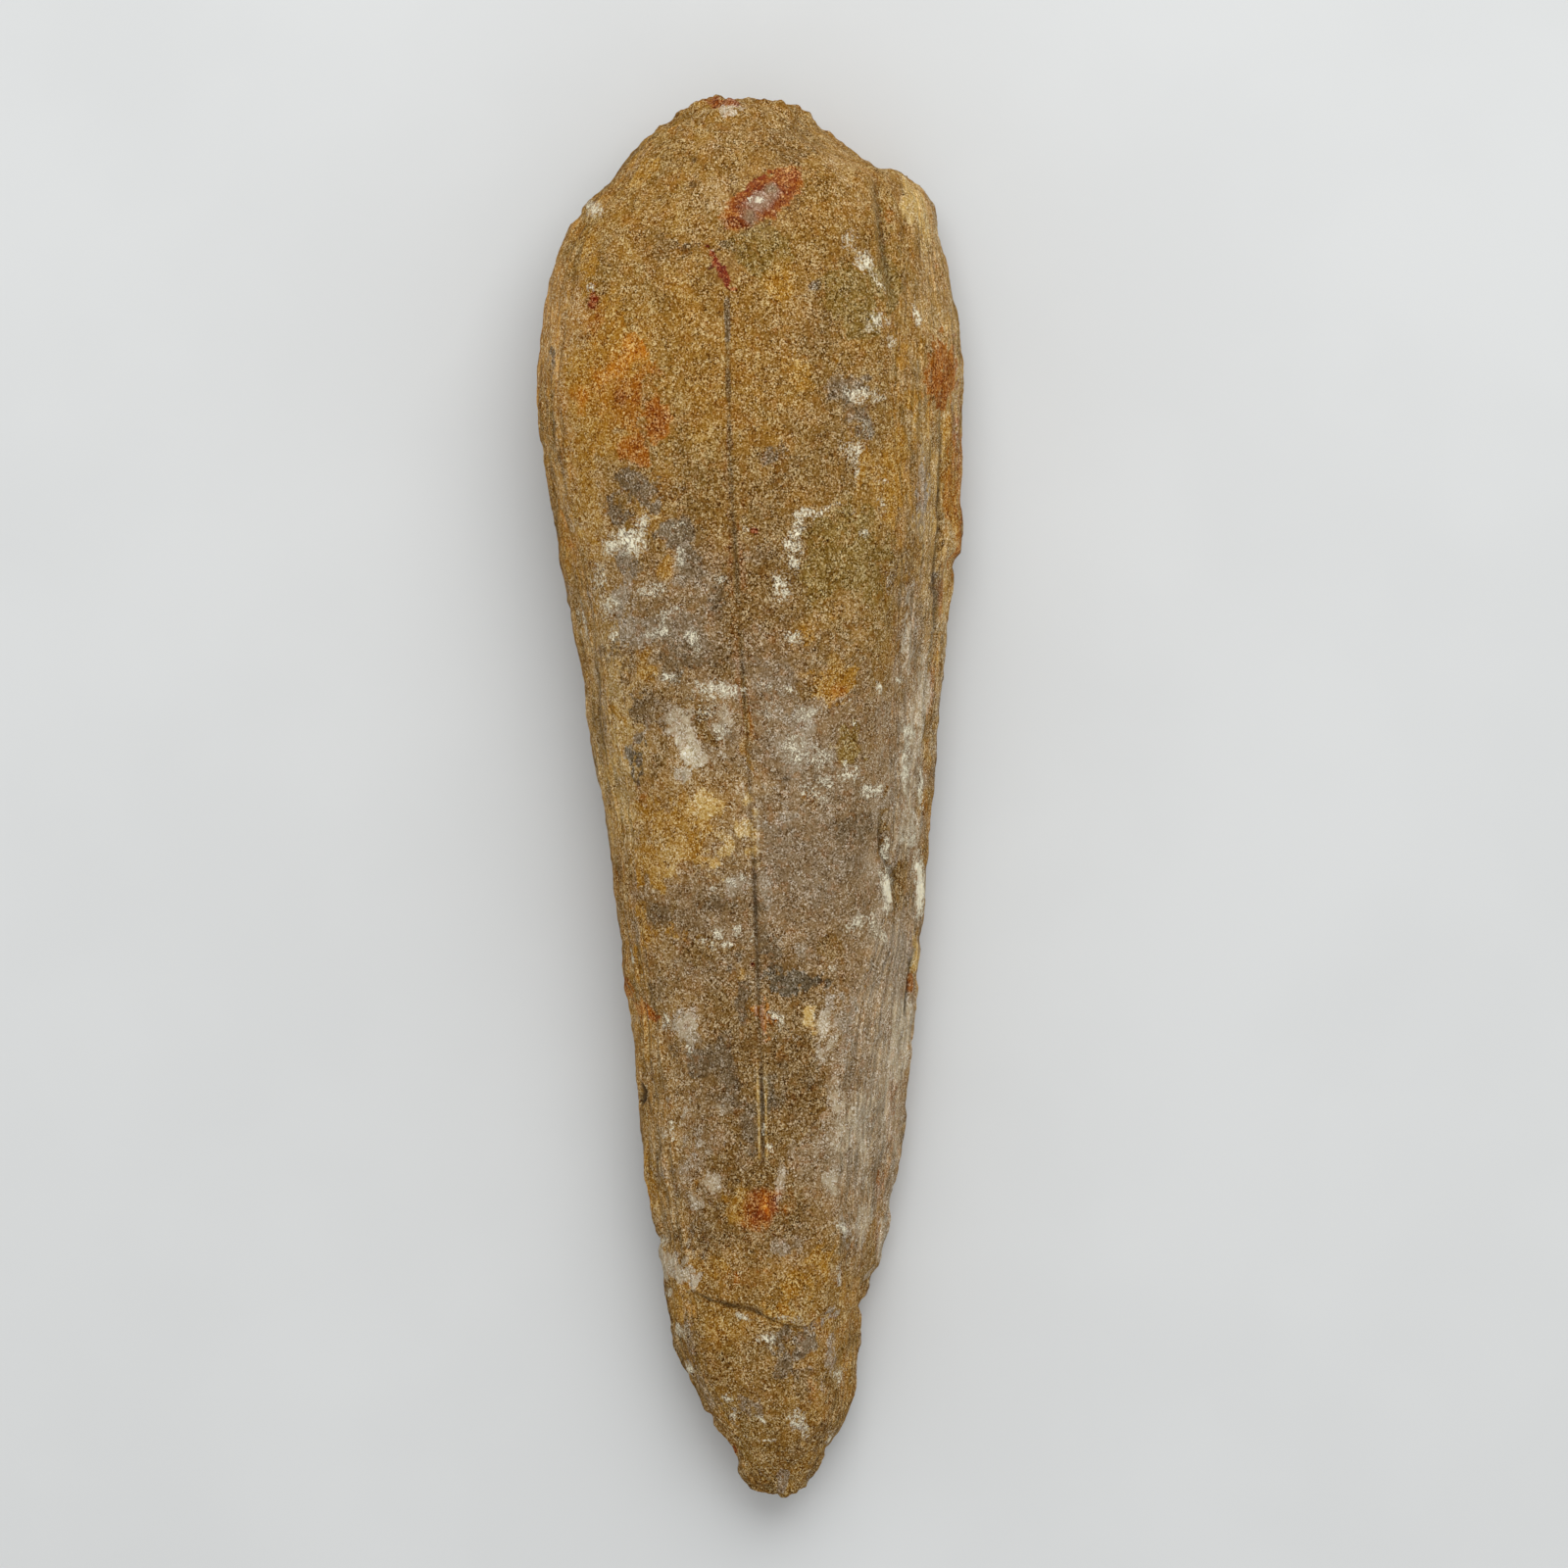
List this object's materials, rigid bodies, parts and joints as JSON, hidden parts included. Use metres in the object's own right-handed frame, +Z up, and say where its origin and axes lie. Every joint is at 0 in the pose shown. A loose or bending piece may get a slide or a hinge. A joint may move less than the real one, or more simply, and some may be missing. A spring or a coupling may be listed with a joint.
{
  "type": "dinosaur tooth fossil",
  "caption": "Long wedge-shaped fossil tooth of brown, iron-stained stone with a fine groove down the middle of its face, lying on its flattened underside.",
  "frame": {"origin": "under the middle of the tooth's bounding box, on the surface that it rests on", "axes": "+Y along the tooth from the tip to the broken root end, +X across its face, +Z up out of the grooved face"},
  "size_m": [0.0606, 0.2, 0.036],
  "materials": {
    "iron_stained_stone": "matt, finely grained ochre-brown stone with grey-white calcite crust and rust-red spots"
  },
  "bodies": {
    "root": {"tooth": "iron_stained_stone"}
  },
  "joints": []
}
